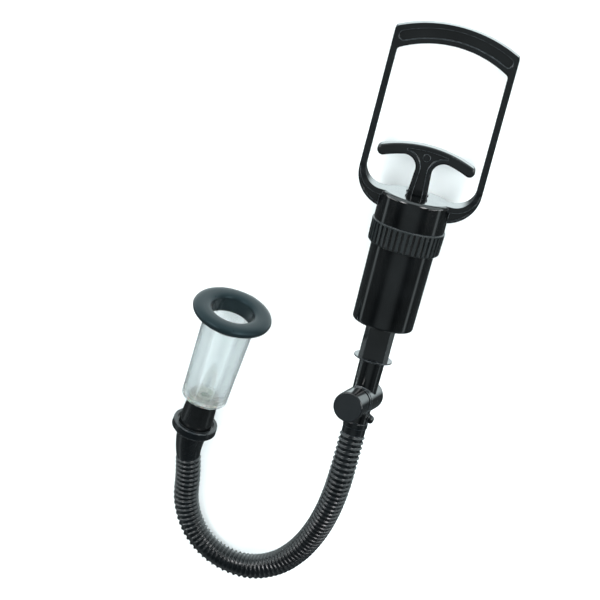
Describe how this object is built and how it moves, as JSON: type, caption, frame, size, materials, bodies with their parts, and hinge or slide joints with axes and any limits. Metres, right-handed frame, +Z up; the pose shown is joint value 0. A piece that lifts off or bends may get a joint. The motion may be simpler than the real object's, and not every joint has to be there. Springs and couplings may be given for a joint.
{
  "type": "hand vacuum pump",
  "caption": "Pull-handle hand vacuum pump with a looped grip, T-handle plunger, push-button release valve, corrugated hose and a clear cup with a soft sleeve.",
  "frame": {"origin": "centre of the footprint of the pump and cup, on the ground they lie on", "axes": "+Z up; +Y along the pump in plan, from its outlet towards the arch of its handle; +X to the right, the cup on the left"},
  "size_m": [0.1767, 0.4539, 0.0814],
  "materials": {
    "black_gloss": "moulded, high gloss",
    "button_satin": "moulded, satin face",
    "hose_pvc": "soft extruded vinyl, satin",
    "sleeve_rubber": "soft silicone, satin",
    "rubber_seal": "moulded rubber",
    "natural_nylon": "moulded, unpainted",
    "steel": "bright wire and turned steel",
    "clear_cup": "clear moulded plastic, polished"
  },
  "bodies": {
    "pump_body": {"barrel": "black_gloss", "button_spring": "steel", "check_valve_cage": "natural_nylon", "check_valve_seat": "natural_nylon", "check_valve_spring": "steel", "connector_gasket": "natural_nylon", "cup": "clear_cup", "cup_connector": "black_gloss", "cup_sleeve": "sleeve_rubber", "flange_gasket": "rubber_seal", "handle_frame": "black_gloss", "hose": "hose_pvc", "hose_cup_cuff": "hose_pvc", "hose_pump_cuff": "hose_pvc", "knurled_ring": "black_gloss", "outlet_block": "black_gloss", "outlet_o_ring": "rubber_seal", "return_spring": "steel", "rod_guide_bush": "natural_nylon", "valve_body": "black_gloss", "valve_collar": "rubber_seal", "valve_rear_cap": "black_gloss", "vent_nipple": "black_gloss"},
    "plunger": {"t_handle": "black_gloss", "piston": "natural_nylon", "piston_seal": "rubber_seal", "piston_valve_flap": "rubber_seal", "piston_screw": "steel", "spring_washer": "steel"},
    "button": {"release_button": "button_satin", "button_spool": "natural_nylon", "spool_o_ring_rear": "rubber_seal", "spool_o_ring_front": "rubber_seal"},
    "inlet_valve": {"check_valve_disc": "rubber_seal"}
  },
  "joints": [
    {"name": "plunger_pull", "type": "slide", "parent": "pump_body", "child": "plunger", "axis": [0, 0.9865, -0.1639], "range_m": [0, 0.044], "stiffness_N_per_m": 120, "springref_m": -0.05, "deforming": ["return_spring"]},
    {"name": "button_press", "type": "slide", "parent": "pump_body", "child": "button", "axis": [0.2672, -0.1579, -0.9506], "range_m": [0, 0.003], "stiffness_N_per_m": 600, "springref_m": -0.003, "deforming": ["button_spring"]},
    {"name": "inlet_valve_lift", "type": "slide", "parent": "pump_body", "child": "inlet_valve", "axis": [0, 0.9865, -0.1639], "range_m": [0, 0.001], "stiffness_N_per_m": 40, "springref_m": -0.002, "deforming": ["check_valve_spring"]}
  ]
}
